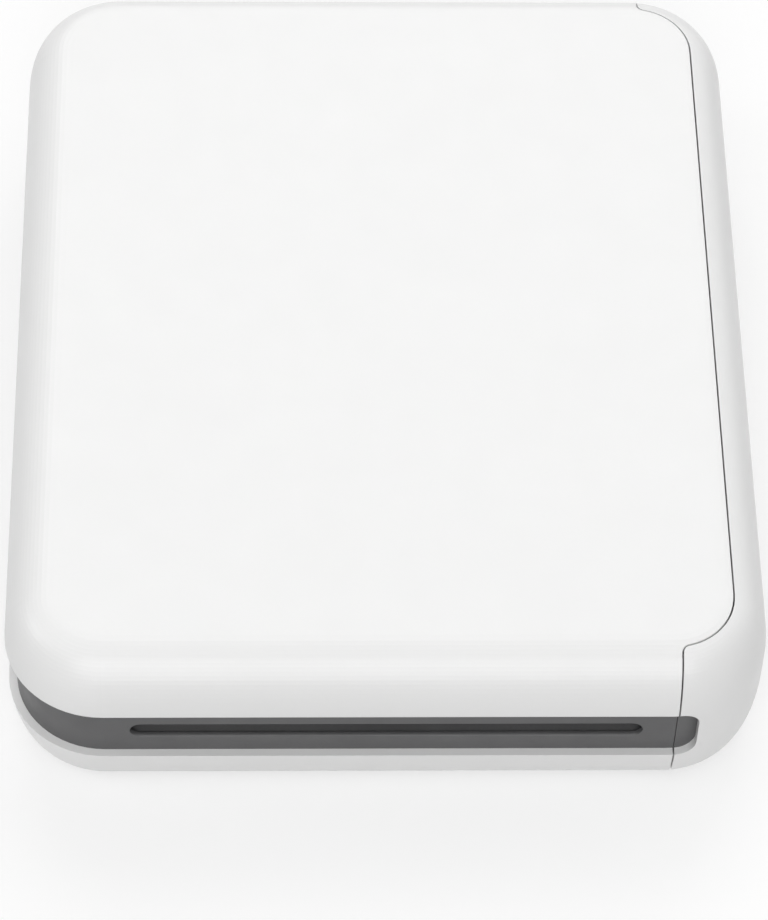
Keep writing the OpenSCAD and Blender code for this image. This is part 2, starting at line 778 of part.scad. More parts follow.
module head_heatsink() {
  base_z = head_z + head_bar_h;
  color(STEEL) x_plate(-head_w / 2, head_w / 2) translate([head_y, 0]) {
    translate([-sink_half, base_z]) square([2 * sink_half, 2]);
    for (i = [-2 : 2]) translate([i * (sink_half - 0.4) / 2 - 0.4, base_z + 1])
      square([0.8, sink_top - base_z - 1]);
  }
}

module thermal_head() {
  color("wheat") {
    box([-head_w / 2, head_w / 2], [head_y - 3, head_y + 3], [head_z + 0.4, head_z + head_bar_h]);
    // Glaze bead that carries the heating dots
    x_rod(-paper_w / 2, paper_w / 2, [head_y, head_z + 0.5], 1);
  }
}

cable_x = inner_x0 + 1;
cable_y = arm_pivot_y + 6;
cable_w = 6;
module head_cable() {
  y0 = head_y - 3;
  y1 = cable_y;
  z1 = frame_top - 3.6;
  z0 = board_top + 1.2;
  color("peru") {
    x_plate(cable_x, cable_x + 0.2)
      polygon([[y0, z1 - 4], [y0, z1], [y1 + cable_w, z1], [y1 + cable_w, z0], [y1, z0], [y1, z1 - 4]]);
    box([cable_x, -head_w / 2], [y0, y0 + 5], [z1 - 0.2, z1]);
    box([cable_x, board_x0 + 4], [y1, y1 + cable_w], [z0, z0 + 0.2]);
  }
}

// ---- Rollers ----

roller_w = paper_w + 2.8;
arm_t = 1.4;
left_arm_x = inner_x0 + 0.6;
right_arm_x = inner_x1 - 0.4 - arm_t;

// Arm outline between round bosses at a and b
module arm_profile(a, ra, b, rb) {
  n = [a[1] - b[1], b[0] - a[0]] / norm(b - a);
  translate(a) circle(ra);
  translate(b) circle(rb);
  polygon([a + ra * n, b + rb * n, b - rb * n, a - ra * n]);
}

module platen_arms() {
  color(STEEL) {
    for (x = [left_arm_x, right_arm_x]) x_plate(x, x + arm_t) difference() {
      arm_profile(arm_pivot, 1.6, platen_at, 2.2);
      translate(platen_at) circle(d = shaft_d + 2 * fit);
    }
    x_rod(engine_x0, engine_x1, arm_pivot, shaft_d);
  }
}

module platen_roller() {
  color(RUBBER) x_rod(-roller_w / 2, roller_w / 2, platen_at, platen_d);
  color(STEEL) x_rod(left_arm_x - 0.3, right_arm_x + arm_t + 0.2, platen_at, shaft_d);
}

module capstan_roller() {
  color(STEEL) {
    x_rod(-roller_w / 2, roller_w / 2, capstan_at, feed_d);
    x_rod(gear_x0, engine_x1 + 0.2, capstan_at, shaft_d);
  }
}

module pinch_roller() {
  color(RUBBER) x_rod(-roller_w / 2, roller_w / 2, pinch_at, feed_d);
  color(STEEL) x_rod(engine_x0 - 0.4, engine_x1 + 0.2, pinch_at, shaft_d);
}

module pickup_roller() {
  tyre_w = 10;
  groove_w = 0.6;
  color(RUBBER) for (x = [-14, 4]) difference() {
    x_rod(x, x + tyre_w, pickup_at, pickup_d);
    // Tread grooves of the tyre
    for (i = [1 : 3]) let (groove_x = x + tyre_w / 4 * i) difference() {
      x_rod(groove_x - groove_w / 2, groove_x + groove_w / 2, pickup_at, pickup_d + 1);
      x_rod(x, x + tyre_w, pickup_at, pickup_d - 0.8);
    }
  }
  color(STEEL) {
    x_rod(-15, 15, pickup_at, 5);
    x_rod(gear_x0, engine_x1 + 0.2, pickup_at, shaft_d);
  }
}

// ---- Gear train on the outside of the left frame ----

pressure_angle = 20;
function involute(r, base_r) = r <= base_r ? 0 : let (a = acos(base_r / r)) tan(a) * 180 / PI - a;
// Half angle of a tooth at radius r, for n teeth
function tooth_half(n, r) =
  let (pr = pitch_r(n), base_r = pr * cos(pressure_angle))
  90 / n - backlash / 2 / pr * 180 / PI + involute(pr, base_r) - involute(max(r, base_r), base_r);
function on_circle(r, a) = [r * cos(a), r * sin(a)];

module gear_profile(n, phase) {
  pr = pitch_r(n);
  radii = [pr - 1.15 * gear_m, pr - 0.5 * gear_m, pr, pr + 0.85 * gear_m];
  polygon([for (i = [0 : n - 1]) let (c = phase + 360 * i / n)
    each concat([for (r = radii) on_circle(r, c - tooth_half(n, r))],
                [for (k = [3 : -1 : 0]) on_circle(radii[k], c + tooth_half(n, radii[k]))])]);
}

// Gear with n teeth on a bore; the larger ones have a thin web and lightening holes
module gear(at, n, phase, bore) {
  pr = pitch_r(n);
  rim = pr - 1.15 * gear_m - 0.9;
  hub = bore / 2 + 1.2;
  hole_r = (rim - hub) / 2 - 0.35;
  color(GEAR_PLASTIC) difference() {
    x_plate(gear_x0, gear_x1) translate(at) difference() {
      gear_profile(n, phase);
      circle(d = bore);
      if (hole_r > 0.7) for (a = [0 : 60 : 300]) translate(on_circle((rim + hub) / 2, a)) circle(hole_r);
    }
    if (rim - hub > 0.8) difference() {
      x_rod(gear_x0 - 1, gear_x0 + gear_w * 0.35, at, 2 * rim);
      x_rod(gear_x0 - 1, gear_x1, at, 2 * hub);
    }
  }
}

module capstan_gear() gear(capstan_at, capstan_n, 0, shaft_d);
module pickup_gear() gear(pickup_at, pickup_n, pickup_phase, shaft_d);
module front_idler() gear(front_at, front_n, front_phase, shaft_d + 2 * fit);
module middle_idler() gear(middle_at, middle_n, middle_phase, shaft_d + 2 * fit);
module rear_idler() gear(rear_at, rear_n, rear_phase, shaft_d + 2 * fit);
module motor_idler() gear(motor_idler_at, motor_idler_n, motor_idler_phase, shaft_d + 2 * fit);

spool_x0 = cart_x0 - 0.4;
module takeup_gear() {
  gear(takeup_at, takeup_n, takeup_phase, drive_d);
  color(GEAR_PLASTIC) x_rod(gear_x0, spool_x0, takeup_at, drive_d);
}

motor_shaft_d = 1.5;
module motor_pinion() {
  gear(motor_at, pinion_n, pinion_phase, motor_shaft_d);
  color(STEEL) x_rod(gear_x0, inner_x0 + 2, motor_at, motor_shaft_d);
}

module idler_studs() {
  color(STEEL) for (at = [front_at, middle_at, rear_at, motor_idler_at]) {
    x_rod(gear_x0 - 0.3, inner_x0, at, shaft_d);
    x_rod(gear_x0 - 0.8, gear_x0 - 0.2, at, shaft_d + 1.2);
  }
}

module drive_motor() {
  motor_end = inner_x0 + motor_l;
  terminal_z = [motor_z - 0.15, motor_z + 0.15];
  color(STEEL) difference() {
    union() {
      x_rod(inner_x0, motor_end, motor_at, motor_d);
      x_rod(engine_x0, inner_x0 + EPS, motor_at, motor_boss_d);
      x_rod(motor_end - EPS, motor_end + 0.8, motor_at, 4);
      // Brush terminals
      for (y = [motor_y - 4.2, motor_y + 3]) box([motor_end - EPS, motor_end + 1.6], [y, y + 1.2], terminal_z);
    }
    x_rod(engine_x0 - 1, inner_x0 + 2.5, motor_at, motor_shaft_d + 2 * fit);
  }
}

// ---- Electronics ----

board_top = board_z + board_t;
lead_x = 10;
lead_d = 1.3;

// Part on the main board, w by l and h high; its near left corner is given from the board's middle front
module chip(at, w, l, h) {
  x = (board_x0 + board_x1) / 2 + at[0];
  y = board_y0 + at[1];
  box([x, x + w], [y, y + l], [board_top, board_top + h]);
}

module main_board() {
  cap_pitch = 6;
  color("seagreen") difference() {
    box([board_x0, board_x1], [board_y0, board_y1], [board_z, board_top]);
    for (s = standoff_spots) translate([s[0], s[1], 0]) cylinder(d = 2.2, h = BIG);
  }
  color(BLACK) {
    // Processor, memory, motor driver and power stage
    chip([-7, 26], 12, 12, 1.2);
    chip([11, 30], 9, 11, 1);
    chip([-25, 30], 7, 7, 1);
    chip([23, 48], 8, 8, 1.4);
    chip([22, 22], 5, 6, 1);
    // Smoothing capacitors
    for (i = [0 : 3]) translate([board_x0 + 10 + cap_pitch * i, board_y1 - 23, board_top])
      cylinder(d = 4.4, h = 2.2);
  }
  color("ivory") {
    // Sockets of the head cable and of the battery lead
    box([board_x0, board_x0 + 5], [cable_y - 1, cable_y + cable_w + 1], [board_top, board_top + 1.2]);
    box([lead_x - 3, lead_x + 3], [board_y1 - 6, board_y1 - 1], [board_top, board_top + 2]);
  }
}

battery_x = inner_x1 - 4 - battery_w / 2;

module battery_pack() {
  color("slategray") difference() {
    translate([battery_x, battery_y1, battery_z + battery_h / 2]) rotate([90, 0, 0])
      linear_extrude(battery_l) round_rect(battery_w, battery_h, 2);
    // Recess at the sealed edge round the protection board
    box([battery_x - battery_w / 2 + 6, battery_x + battery_w / 2 - 6], [battery_y1 - 1.2, battery_y1 + 1],
        [battery_z + 2, battery_z + battery_h - 2]);
  }
}

module battery_lead() {
  z_top_run = battery_z + battery_h / 2;
  z_low_run = board_top + 1;
  y_back = tray_y1 + 2;
  for (s = [-1, 1]) color(s < 0 ? "firebrick" : BLACK) {
    x = lead_x + s * 1;
    y_rod(battery_y1 - 1.2, y_back, [x, z_top_run], lead_d);
    translate([x, y_back, z_low_run]) cylinder(d = lead_d, h = z_top_run - z_low_run);
    y_rod(board_y1 - 1, y_back, [x, z_low_run], lead_d);
    for (z = [z_top_run, z_low_run]) translate([x, y_back, z]) sphere(d = lead_d);
  }
}

// ---- Cartridge ----

end_t = 1.2;
grip_t = 2;
spool_core_d = 4;
supply_wound_d = 2 * (housing_r - cart_wall) - 1;
takeup_wound_d = supply_wound_d * 0.75;
module cartridge_shell() {
  inside_x = [cart_x0 + end_t, cart_x1 - grip_t];
  mouth = housing_r - 1;
  grip_y = [tray_y0 + 30, tray_y0 + 46];
  color("slategray") difference() {
    union() {
      x_plate(cart_x0, cart_x0 + end_t) cartridge_profile(0);
      x_plate(cart_x1 - grip_t, cart_x1) cartridge_profile(0);
      difference() {
        for (y = [takeup_y, supply_y]) x_rod(cart_x0, cart_x1, [y, spool_z], 2 * housing_r);
        for (y = [takeup_y, supply_y])
          x_rod(inside_x[0], inside_x[1], [y, spool_z], 2 * (housing_r - cart_wall));
        // Mouths that the ribbon leaves and enters by
        box(inside_x, [takeup_y - 0.5, takeup_y + mouth], [0, spool_z - housing_r / 2]);
        box(inside_x, [supply_y - mouth, supply_y + 0.5], [0, spool_z - housing_r / 2]);
      }
      difference() {
        box([cart_x0, cart_x1], [tray_y0, tray_y1], [tray_z0, tray_top]);
        box(inside_x, [tray_y0 + cart_wall, tray_y1 - cart_wall], [tray_z0 + cart_wall, BIG]);
        // Low front lip that the sheets leave over
        box([-paper_w / 2 - 0.5, paper_w / 2 + 0.5], [tray_y0 - 1, tray_y0 + 2],
            [tray_z0 + cart_wall + 1.4, BIG]);
      }
      // Side guides of the paper
      for (x = [-paper_w / 2 - 1.3, paper_w / 2 + 0.3], y = [tray_y0 + 8, tray_y1 - 24])
        box([x, x + 1], [y, y + 16], [tray_z0 + cart_wall - EPS, tray_z0 + cart_wall + 2.4]);
    }
    for (y = [takeup_y, supply_y]) x_rod(cart_x0 - 1, cart_x1 + 1, [y, spool_z], drive_d + 2 * fit);
    // Finger grip in the outer end
    for (y = grip_y) x_rod(cart_x1 - 0.8, cart_x1 + 1, [y, tray_z0 + 1.9], 2.4);
    box([cart_x1 - 0.8, cart_x1 + 1], grip_y, [tray_z0 + 0.7, tray_z0 + 3.1]);
  }
}

// Spool with its flanges and the ribbon wound to diameter wound_d
module spool(y, wound_d) {
  at = [y, spool_z];
  color("ivory") {
    x_rod(spool_x0, cart_x1 - 0.4, at, drive_d);
    x_rod(cart_x0 + end_t + 0.4, cart_x1 - grip_t - 0.4, at, spool_core_d);
    for (x = [-paper_w / 2 - 2, paper_w / 2 + 1]) x_rod(x, x + 1, at, 2 * (housing_r - cart_wall) - 0.6);
  }
  color("darkslategray") x_rod(-paper_w / 2 - 0.5, paper_w / 2 + 0.5, at, wound_d);
}

module supply_spool() spool(supply_y, supply_wound_d);
module takeup_spool() spool(takeup_y, takeup_wound_d);

film_t = 0.1;
module ribbon_film() {
  z_run = head_z - 0.05;
  low = [[takeup_y, spool_z - takeup_wound_d / 2], [takeup_y + 5.5, z_run], [supply_y - 5.5, z_run],
         [supply_y, spool_z - supply_wound_d / 2]];
  color("darkslategray") x_plate(-paper_w / 2, paper_w / 2)
    polygon(concat(low, [for (i = [3 : -1 : 0]) low[i] - [0, film_t]]));
}

module paper_stack() {
  color("white") box([-paper_w / 2, paper_w / 2], [tray_y0 + cart_wall, tray_y0 + cart_wall + paper_l],
                     [tray_z0 + cart_wall, tray_z0 + cart_wall + stack_h]);
}

module cartridge_latch() {
  foot = [latch_at[0] + 6, tray_z0 + 2.4];
  x0 = cart_x1 + 0.4;
  color(LIGHT_GREY) difference() {
    union() {
      x_rod(engine_x1 + play, x0 + 1.2, latch_at, shaft_d + 2);
      x_plate(x0, x0 + 1.2) arm_profile(latch_at, 2, foot, 1.6);
      x_plate(x0, x0 + 1.2) arm_profile(latch_at, 2, latch_at + [-3, 6], 1.6);
      x_rod(x0, x0 + 2.4, latch_at + [-3, 6], 3.2);
    }
    x_rod(engine_x1, x0 + 3, latch_at, shaft_d + 2 * fit);
  }
}

top_cover();
bottom_case();
trim_band();
cartridge_door();
door_trim();
door_hinge_pins();
rubber_feet();
case_screws();
port_board();
usb_port();
power_button();
status_lens();
left_frame();
right_frame();
cartridge_deck();
battery_deck();
front_stay();
head_bridge();
exit_guide();
head_heatsink();
thermal_head();
head_cable();
platen_arms();
platen_roller();
capstan_roller();
pinch_roller();
pickup_roller();
capstan_gear();
takeup_gear();
pickup_gear();
front_idler();
middle_idler();
rear_idler();
motor_idler();
motor_pinion();
idler_studs();
drive_motor();
main_board();
battery_pack();
battery_lead();
cartridge_shell();
supply_spool();
takeup_spool();
ribbon_film();
paper_stack();
cartridge_latch();
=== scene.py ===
import json
import math

import bmesh
import bpy
from mathutils import Matrix, Vector


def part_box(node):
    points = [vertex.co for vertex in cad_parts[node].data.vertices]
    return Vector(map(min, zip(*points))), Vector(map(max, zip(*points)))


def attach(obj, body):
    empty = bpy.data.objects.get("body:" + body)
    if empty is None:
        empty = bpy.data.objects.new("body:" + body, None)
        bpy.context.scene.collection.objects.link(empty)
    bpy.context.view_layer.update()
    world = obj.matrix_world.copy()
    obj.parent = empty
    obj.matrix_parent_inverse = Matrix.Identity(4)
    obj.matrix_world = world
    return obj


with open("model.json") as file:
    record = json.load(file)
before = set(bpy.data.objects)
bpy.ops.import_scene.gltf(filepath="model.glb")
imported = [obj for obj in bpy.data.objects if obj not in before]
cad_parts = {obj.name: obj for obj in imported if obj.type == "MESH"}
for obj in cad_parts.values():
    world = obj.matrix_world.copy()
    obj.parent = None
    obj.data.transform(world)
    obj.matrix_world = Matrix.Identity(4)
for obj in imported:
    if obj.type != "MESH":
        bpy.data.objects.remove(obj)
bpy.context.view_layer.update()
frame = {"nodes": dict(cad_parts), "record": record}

nodes = frame["nodes"]


# ---------------------------------------------------------------- camera and light

# The world's strength on the object, and its level where it is seen or reflected
SURROUND_STRENGTH = 0.14
SEEN_LEVEL = 0.93

def make_camera():
    """A long lens in front of the printer, looking down on it."""
    yaw, elevation, roll = (math.radians(a) for a in (2.69, 54.0, 2.16))
    target = Vector((0.00035, -0.0191, 0.0160))
    distance = 0.632
    forward = Vector((
        math.sin(yaw) * math.cos(elevation),
        math.cos(yaw) * math.cos(elevation),
        -math.sin(elevation),
    ))
    level = Vector((math.cos(yaw), -math.sin(yaw), 0))
    upright = level.cross(forward)
    right = level * math.cos(roll) + upright * math.sin(roll)
    up = upright * math.cos(roll) - level * math.sin(roll)
    data = bpy.data.cameras.new("camera")
    data.lens = 157.88
    data.sensor_width = 36
    data.clip_start = 0.01
    data.clip_end = 50
    camera = bpy.data.objects.new("camera", data)
    camera.matrix_world = Matrix.Translation(target - forward * distance) @ Matrix((
        (right.x, up.x, -forward.x, 0),
        (right.y, up.y, -forward.y, 0),
        (right.z, up.z, -forward.z, 0),
        (0, 0, 0, 1),
    ))
    bpy.context.scene.collection.objects.link(camera)
    bpy.context.scene.camera = camera


def background_rays(tree):
    """1 for a ray that sees the background: straight from the camera, in a reflection or through glass."""
    path = tree.nodes.new("ShaderNodeLightPath")
    seen = path.outputs["Is Camera Ray"]
    for kind in ("Is Glossy Ray", "Is Transmission Ray"):
        either = tree.nodes.new("ShaderNodeMath")
        either.operation = "MAXIMUM"
        tree.links.new(seen, either.inputs[0])
        tree.links.new(path.outputs[kind], either.inputs[1])
        seen = either.outputs[0]
    return seen


def make_light():
    """Six soft boxes, overhead, behind, in front and to the sides, and an even surround.

    Each has its strength, its width, its tilt from overhead and its turn, in degrees.
    """
    for name, strength, spread, tilt, turn in (
        ("light_top", 0.85, 90, 6, -80),
        ("light_back", 0.9, 46, -52, 0),
        ("light_front", 1.5, 56, 60, -3),
        ("light_left", 0.06, 60, -62, 51),
        ("light_right", 0.46, 60, -62, -51),
        ("light_edge", 0.34, 25, 62, -95),
    ):
        data = bpy.data.lights.new(name, "SUN")
        data.energy = strength
        data.angle = math.radians(spread)
        lamp = bpy.data.objects.new(name, data)
        lamp.rotation_euler = (math.radians(tilt), 0, math.radians(turn))
        bpy.context.scene.collection.objects.link(lamp)
    world = bpy.data.worlds.new("surround")
    bpy.context.scene.world = world
    world.use_nodes = True
    tree = world.node_tree
    surround = tree.nodes["Background"]
    surround.inputs["Color"].default_value = (1, 1, 1, 1)
    surround.inputs["Strength"].default_value = SURROUND_STRENGTH
    seen = tree.nodes.new("ShaderNodeBackground")
    seen.inputs["Color"].default_value = (SEEN_LEVEL, SEEN_LEVEL, SEEN_LEVEL, 1)
    mix = tree.nodes.new("ShaderNodeMixShader")
    tree.links.new(background_rays(tree), mix.inputs[0])
    tree.links.new(surround.outputs[0], mix.inputs[1])
    tree.links.new(seen.outputs[0], mix.inputs[2])
    tree.links.new(mix.outputs[0], tree.nodes["World Output"].inputs["Surface"])


# ---------------------------------------------------------------- materials

class Shader:
    """A new node material and short ways to add nodes to it."""

    def __init__(self, name):
        self.material = bpy.data.materials.new(name)
        self.material.use_nodes = True
        self.tree = self.material.node_tree
        self.principled = self.tree.nodes["Principled BSDF"]

    def add(self, kind, settings=None, **inputs):
        node = self.tree.nodes.new("ShaderNode" + kind)
        for key, value in (settings or {}).items():
            setattr(node, key, value)
        for key, value in inputs.items():
            self.put(node, key.replace("_", " "), value)
        return node

    def put(self, node, socket, value):
        target = node.inputs[socket]
        if isinstance(value, bpy.types.NodeSocket):
            self.tree.links.new(value, target)
        else:
            target.default_value = value

    def place(self, stretch=(1, 1, 1)):
        """The piece's own coordinates in metres, stretched for a grain."""
        spot = self.add("TexCoord").outputs["Object"]
        return self.add("Mapping", Vector=spot, Scale=stretch).outputs[0]

    def noise(self, size, detail=2.0, stretch=(1, 1, 1), roughness=0.5):
        """Noise whose features are about size metres across."""
        return self.add(
            "TexNoise", Vector=self.place(stretch), Scale=1 / size, Detail=detail, Roughness=roughness
        ).outputs["Fac"]

    def ramp(self, value, low, high, start=0.3, stop=0.7):
        return self.add("MapRange", Value=value, **{
            "From_Min": start, "From_Max": stop, "To_Min": low, "To_Max": high}).outputs[0]

    def mix(self, factor, first, second):
        node = self.tree.nodes.new("ShaderNodeMix")
        node.data_type = "RGBA"
        for socket, value in ((0, factor), (6, first), (7, second)):
            if isinstance(value, bpy.types.NodeSocket):
                self.tree.links.new(value, node.inputs[socket])
            else:
                node.inputs[socket].default_value = value
        return node.outputs[2]

    def set(self, **inputs):
        for key, value in inputs.items():
            self.put(self.principled, key.replace("_", " "), value)

    def math(self, operation, *values):
        node = self.add("Math", {"operation": operation})
        for socket, value in enumerate(values):
            self.put(node, socket, value)
        return node.outputs[0]

    def axes(self, output="Object"):
        """The piece's own x, y and z in metres, or those of its surface's direction."""
        return list(self.add("SeparateXYZ", Vector=self.add("TexCoord").outputs[output]).outputs)

    def within(self, value, low, high):
        """1 where a number lies between two others."""
        return self.math("COMPARE", value, (low + high) / 2, (high - low) / 2)

    def facing(self, axis):
        """1 where the surface looks along an axis, up or down it."""
        return self.math("GREATER_THAN", self.math("ABSOLUTE", self.axes("Normal")[axis]), 0.7)

    def lines(self, value, pitch, share):
        """1 on lines that take a share of each pitch."""
        return self.math("LESS_THAN", self.math("FRACT", self.math("DIVIDE", value, pitch)), share)

    def cells(self, size):
        """A random number for each cube of a grid."""
        cell = self.add("VectorMath", {"operation": "FLOOR"})
        self.put(cell, 0, self.place((1 / size,) * 3))
        return self.add("TexWhiteNoise", Vector=cell.outputs[0]).outputs["Value"]

    def paint(self, mask, colour, rough=None, metallic=None, relief=0):
        """Lay another finish over the surface where the mask is 1, raised by relief metres."""
        self.colour = self.mix(mask, self.colour, colour)
        if rough is not None:
            self.rough = self.ramp(mask, self.rough, rough, 0, 1)
        if metallic is not None:
            self.metallic = self.ramp(mask, self.metallic, metallic, 0, 1)
        if relief:
            self.height = self.math("MULTIPLY_ADD", mask, relief, self.height)


def tone(colour, factor):
    return tuple(min(1, c * factor) for c in colour) + (1,)


def finish(
    name, colour, rough, grain, depth, *, spread=0.03, patch=0.012, metallic=0.0, stretch=(1, 1, 1),
    edge=0.00015, coat=(0, 0.1), sheen=0.0, detail=None
):
    """A moulded, ground or brushed surface: fine grain, slow patches of tone and softened edges.

    In metres: grain and patch are the sizes of their features, depth is the grain's relief and edge the
    radius of the softened edges. Spread is how far the tone varies, and coat is a weight and a roughness.
    A detail function paints what only this surface shows over it.
    """
    s = Shader(name)
    patches = s.noise(patch, 3.0)
    fine = s.noise(grain, 3.0, stretch, 0.6)
    tint = s.mix(s.ramp(patches, 0, 1), tone(colour, 1 - spread), tone(colour, 1 + spread))
    s.colour = s.mix(s.ramp(fine, 0, 0.35), tint, tone(colour, 1 - 2.5 * spread))
    s.rough = s.ramp(s.noise(patch * 0.4, 4.0, stretch), rough * 0.88, rough * 1.14)
    s.metallic = metallic
    s.height = s.math("MULTIPLY", fine, depth)
    if detail:
        detail(s)
    s.set(Base_Color=s.colour, Roughness=s.rough, Metallic=s.metallic)
    soft_edge = s.add("Bevel", {"samples": 4}, Radius=edge).outputs[0]
    s.set(Normal=s.add("Bump", Height=s.height, Distance=1.0, Strength=1.0, Normal=soft_edge).outputs[0])
    s.set(Coat_Weight=coat[0], Coat_Roughness=coat[1])
    if sheen:
        s.set(Sheen_Weight=sheen, Sheen_Roughness=0.4)
    return s.material


def plated(s):
    """Zinc spangle: large flat crystals that differ a little in tone and polish."""
    crystal = s.add("TexVoronoi", Vector=s.place(), Scale=1 / 0.0035).outputs["Color"]
    shade = s.add("SeparateXYZ", Vector=crystal).outputs[0]
    s.paint(s.ramp(shade, 0, 0.22, 0, 1), (0.36, 0.38, 0.40, 1))
    s.rough = s.math("MULTIPLY_ADD", shade, 0.09, s.rough)


def moulded(s):
    """The dull spark-eroded grain of a tool, with a smoother flow mark here and there."""
    pits = s.add("TexVoronoi", Vector=s.place(), Scale=1 / 0.0006).outputs["Distance"]
    s.height = s.math("MULTIPLY_ADD", pits, 0.00001, s.height)
    s.paint(s.ramp(s.noise(0.009, 2.0, (1, 0.3, 1)), 0, 0.5, 0.55, 0.75), (0.13, 0.165, 0.215, 1), 0.34)


# Height above a board's underside where its packages start
BOARD_PACKAGES = 0.00102
# The pale sockets on a board, as spans of x and y
BOARD_SOCKETS = {
    "main_board": (
        ((-0.041, -0.0349), (-0.0226, -0.0144)),
        ((0.0069, 0.0131), (0.0488, 0.0542)),
    ),
}


def board(node):
    """A solder-masked board with tracks, vias, black packages and pale sockets."""
    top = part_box(node)[0].z + BOARD_PACKAGES
    track_pitch, track_share, via_pitch = 0.0011, 0.42, 0.0022
    track_green, ring_gold, hole_black = (0.035, 0.24, 0.085, 1), (0.83, 0.60, 0.28, 1), (0.01, 0.01, 0.01, 1)
    edge_brown, package_black = (0.30, 0.27, 0.10, 1), (0.022, 0.022, 0.024, 1)
    socket_ivory = (0.72, 0.70, 0.60, 1)

    def detail(s):
        x, y, z = s.axes()
        flat = s.facing(2)
        turn = s.math("GREATER_THAN", s.cells(0.006), 0.5)
        along_x, along_y = (s.lines(v, track_pitch, track_share) for v in (x, y))
        track = s.ramp(turn, along_x, along_y, 0, 1)
        bare = s.math("GREATER_THAN", s.cells(0.0048), 0.72)
        tracked_area = s.math("SUBTRACT", flat, s.math("MULTIPLY", bare, flat))
        s.paint(s.math("MULTIPLY", track, tracked_area), track_green, relief=0.00002)
        # Vias: a gold ring round a dark hole in some cells of a grid
        off = [s.math("SUBTRACT", s.math("FRACT", s.math("DIVIDE", v, via_pitch)), 0.5) for v in (x, y)]
        reach = s.math("SQRT", s.math("ADD", *[s.math("MULTIPLY", v, v) for v in off]))
        chosen = s.math("MULTIPLY", flat, s.math("GREATER_THAN", s.cells(via_pitch), 0.7))
        ring, hole = (s.math("MULTIPLY", chosen, s.math("LESS_THAN", reach, r)) for r in (0.2, 0.09))
        s.paint(ring, ring_gold, 0.28, 1.0, 0.00002)
        s.paint(hole, hole_black, 0.8, 0.0)
        s.paint(s.math("SUBTRACT", 1.0, flat), edge_brown, 0.6)
        package = s.math("GREATER_THAN", z, top)
        s.paint(package, package_black, 0.5, 0.0)
        for span_x, span_y in BOARD_SOCKETS.get(node, ()):
            spot = s.math("MULTIPLY", s.within(x, *span_x), s.within(y, *span_y))
            s.paint(s.math("MULTIPLY", package, spot), socket_ivory, 0.42)
    return detail


def taped(s):
    """The battery's wrap: a heat-sealed seam along one side and amber tape over both ends."""
    low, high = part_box("battery_pack")
    tape_amber = (0.55, 0.28, 0.03, 1)
    x, y = s.axes()[:2]
    s.paint(s.within(x, high.x - 0.0095, high.x - 0.0085), (0.30, 0.33, 0.37, 1), 0.28, relief=0.00008)
    s.paint(s.within(y, low.y - 0.001, low.y + 0.0062), tape_amber, 0.2)
    s.paint(s.within(y, high.y - 0.0035, high.y + 0.001), tape_amber, 0.2)


def paired(s):
    """Two leads: the red one and, past the middle, the black one."""
    low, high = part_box("battery_lead")
    s.paint(s.math("GREATER_THAN", s.axes()[0], (low.x + high.x) / 2), (0.02, 0.02, 0.021, 1), 0.45)


def tracked(s):
    """Copper tracks that run along the amber ribbon cable, through its bend."""
    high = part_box("head_cable")[1]
    pitch = 0.0008
    y, z = s.axes()[1:]
    along_y = s.math("MULTIPLY", s.facing(0), s.math("GREATER_THAN", z, high.z - 0.004))
    along_y = s.math("MULTIPLY", along_y, s.math("LESS_THAN", y, high.y - 0.006))
    track = s.ramp(along_y, s.lines(y, pitch, 0.5), s.lines(z, pitch, 0.5), 0, 1)
    s.paint(track, (0.62, 0.27, 0.09, 1), 0.24, relief=0.00001)


# Half the width of the wound film
FILM_HALF = 0.0387


def wound(node):
    """Film wound between the spool's flanges, whose turns show as fine lines, and pale ends."""
    low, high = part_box(node)
    middle_y, middle_z = (low.y + high.y) / 2, (low.z + high.z) / 2
    turn_pitch, streak_pitch = 0.00016, 0.0021

    def detail(s):
        x, y, z = s.axes()
        film = s.within(x, -FILM_HALF, FILM_HALF)
        squares = [s.math("POWER", s.math("SUBTRACT", v, m), 2.0) for v, m in ((y, middle_y), (z, middle_z))]
        radius = s.math("SQRT", s.math("ADD", *squares))
        s.paint(film, (0.05, 0.018, 0.065, 1), 0.2)
        side = s.math("MULTIPLY", film, s.facing(0))
        turns = s.math("MULTIPLY", side, s.lines(radius, turn_pitch, 0.45))
        s.paint(turns, (0.12, 0.05, 0.15, 1), 0.3, relief=0.00001)
        s.paint(s.math("MULTIPLY", film, s.lines(x, streak_pitch, 0.06)), (0.075, 0.03, 0.1, 1), 0.14)
    return detail


def panelled(s):
    """The free run of film: two colour panels with a clear stripe and a dark mark between them."""
    low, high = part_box("ribbon_film")
    y = s.axes()[1]
    middle = (low.y + high.y) / 2
    s.paint(s.math("GREATER_THAN", y, middle), (0.02, 0.11, 0.22, 1))
    s.paint(s.within(y, middle - 0.0006, middle + 0.0006), (0.35, 0.33, 0.36, 1), 0.1)
    s.paint(s.within(y, middle + 0.0009, middle + 0.0017), (0.01, 0.01, 0.01, 1), 0.3)


def layered(s):
    """The edges of the sheets in the stack, a quarter of a millimetre apart, as darker lines of painted shade
    in the gaps between the sheets, over a shallow groove.
    """
    sheet = 0.00025
    gap_shade = s.lines(s.axes()[2], sheet, 0.24)
    side = s.math("SUBTRACT", 1.0, s.facing(2))
    # Painted shade: darker lines on the sides of the stack, where the gaps between the sheets fall in shade
    s.paint(s.math("MULTIPLY", gap_shade, side), (0.50, 0.50, 0.49, 1), 0.7, relief=-0.00003)


def heated(s):
    """The row of heating dots along the glaze bead, between two pale electrodes."""
    low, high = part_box("thermal_head")
    x, y, z = s.axes()
    middle = (low.y + high.y) / 2
    bead = s.math("LESS_THAN", z, low.z + 0.0003)
    row = s.math("MULTIPLY", bead, s.within(y, middle - 0.00025, middle + 0.00025))
    s.paint(row, (0.10, 0.045, 0.02, 1), 0.12)
    s.paint(s.math("MULTIPLY", bead, s.lines(x, 0.0006, 0.3)), (0.45, 0.36, 0.22, 1), 0.2)


